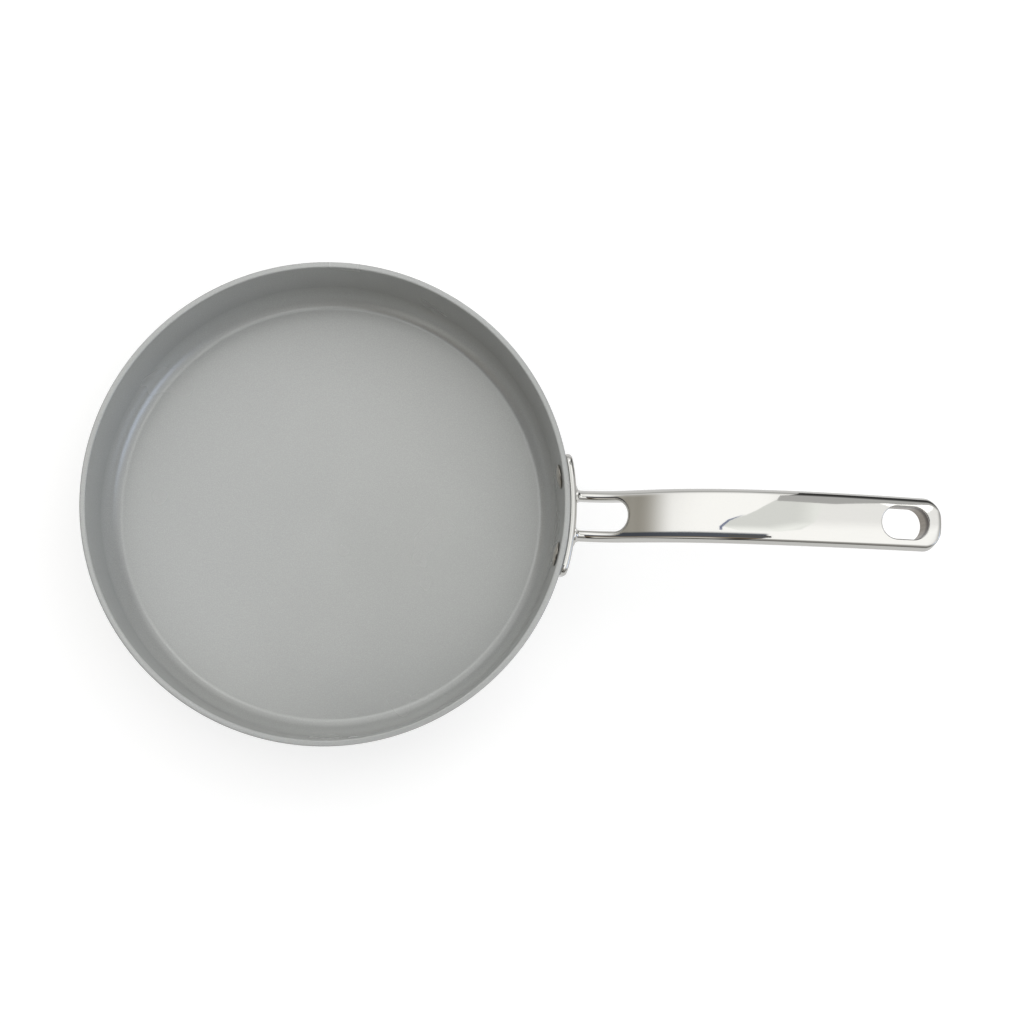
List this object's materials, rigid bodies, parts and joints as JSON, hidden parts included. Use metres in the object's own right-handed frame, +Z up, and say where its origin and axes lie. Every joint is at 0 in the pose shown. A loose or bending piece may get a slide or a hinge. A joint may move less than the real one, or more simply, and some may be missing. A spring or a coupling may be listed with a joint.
{
  "type": "frying pan",
  "caption": "Round straight-walled frying pan with a coated aluminium vessel, a steel base plate and a hollow polished steel handle on a riveted fork, with an oval hang hole.",
  "frame": {"origin": "centre of the base plate's lower face, which the pan stands on", "axes": "+Z up out of the vessel's mouth, +X along the handle away from the vessel, +Y to the left of the handle"},
  "size_m": [0.4544, 0.262, 0.0938],
  "materials": {
    "coated_aluminium": "light grey satin ceramic-type non-stick coating over pressed aluminium",
    "base_steel": "ferritic stainless steel, turned to a fine circular grain",
    "polished_steel": "mirror-polished stainless steel",
    "sleeve_steel": "drawn stainless steel, less polished than the grip",
    "rivet_steel": "tumbled stainless steel rivet, darker than the handle"
  },
  "bodies": {
    "root": {"pan_body": "coated_aluminium", "base_plate": "base_steel", "handle_fork": "polished_steel", "grip_upper_shell": "polished_steel", "grip_lower_shell": "polished_steel", "hang_hole_sleeve": "sleeve_steel", "rivet_left": "rivet_steel", "rivet_right": "rivet_steel"}
  },
  "joints": []
}
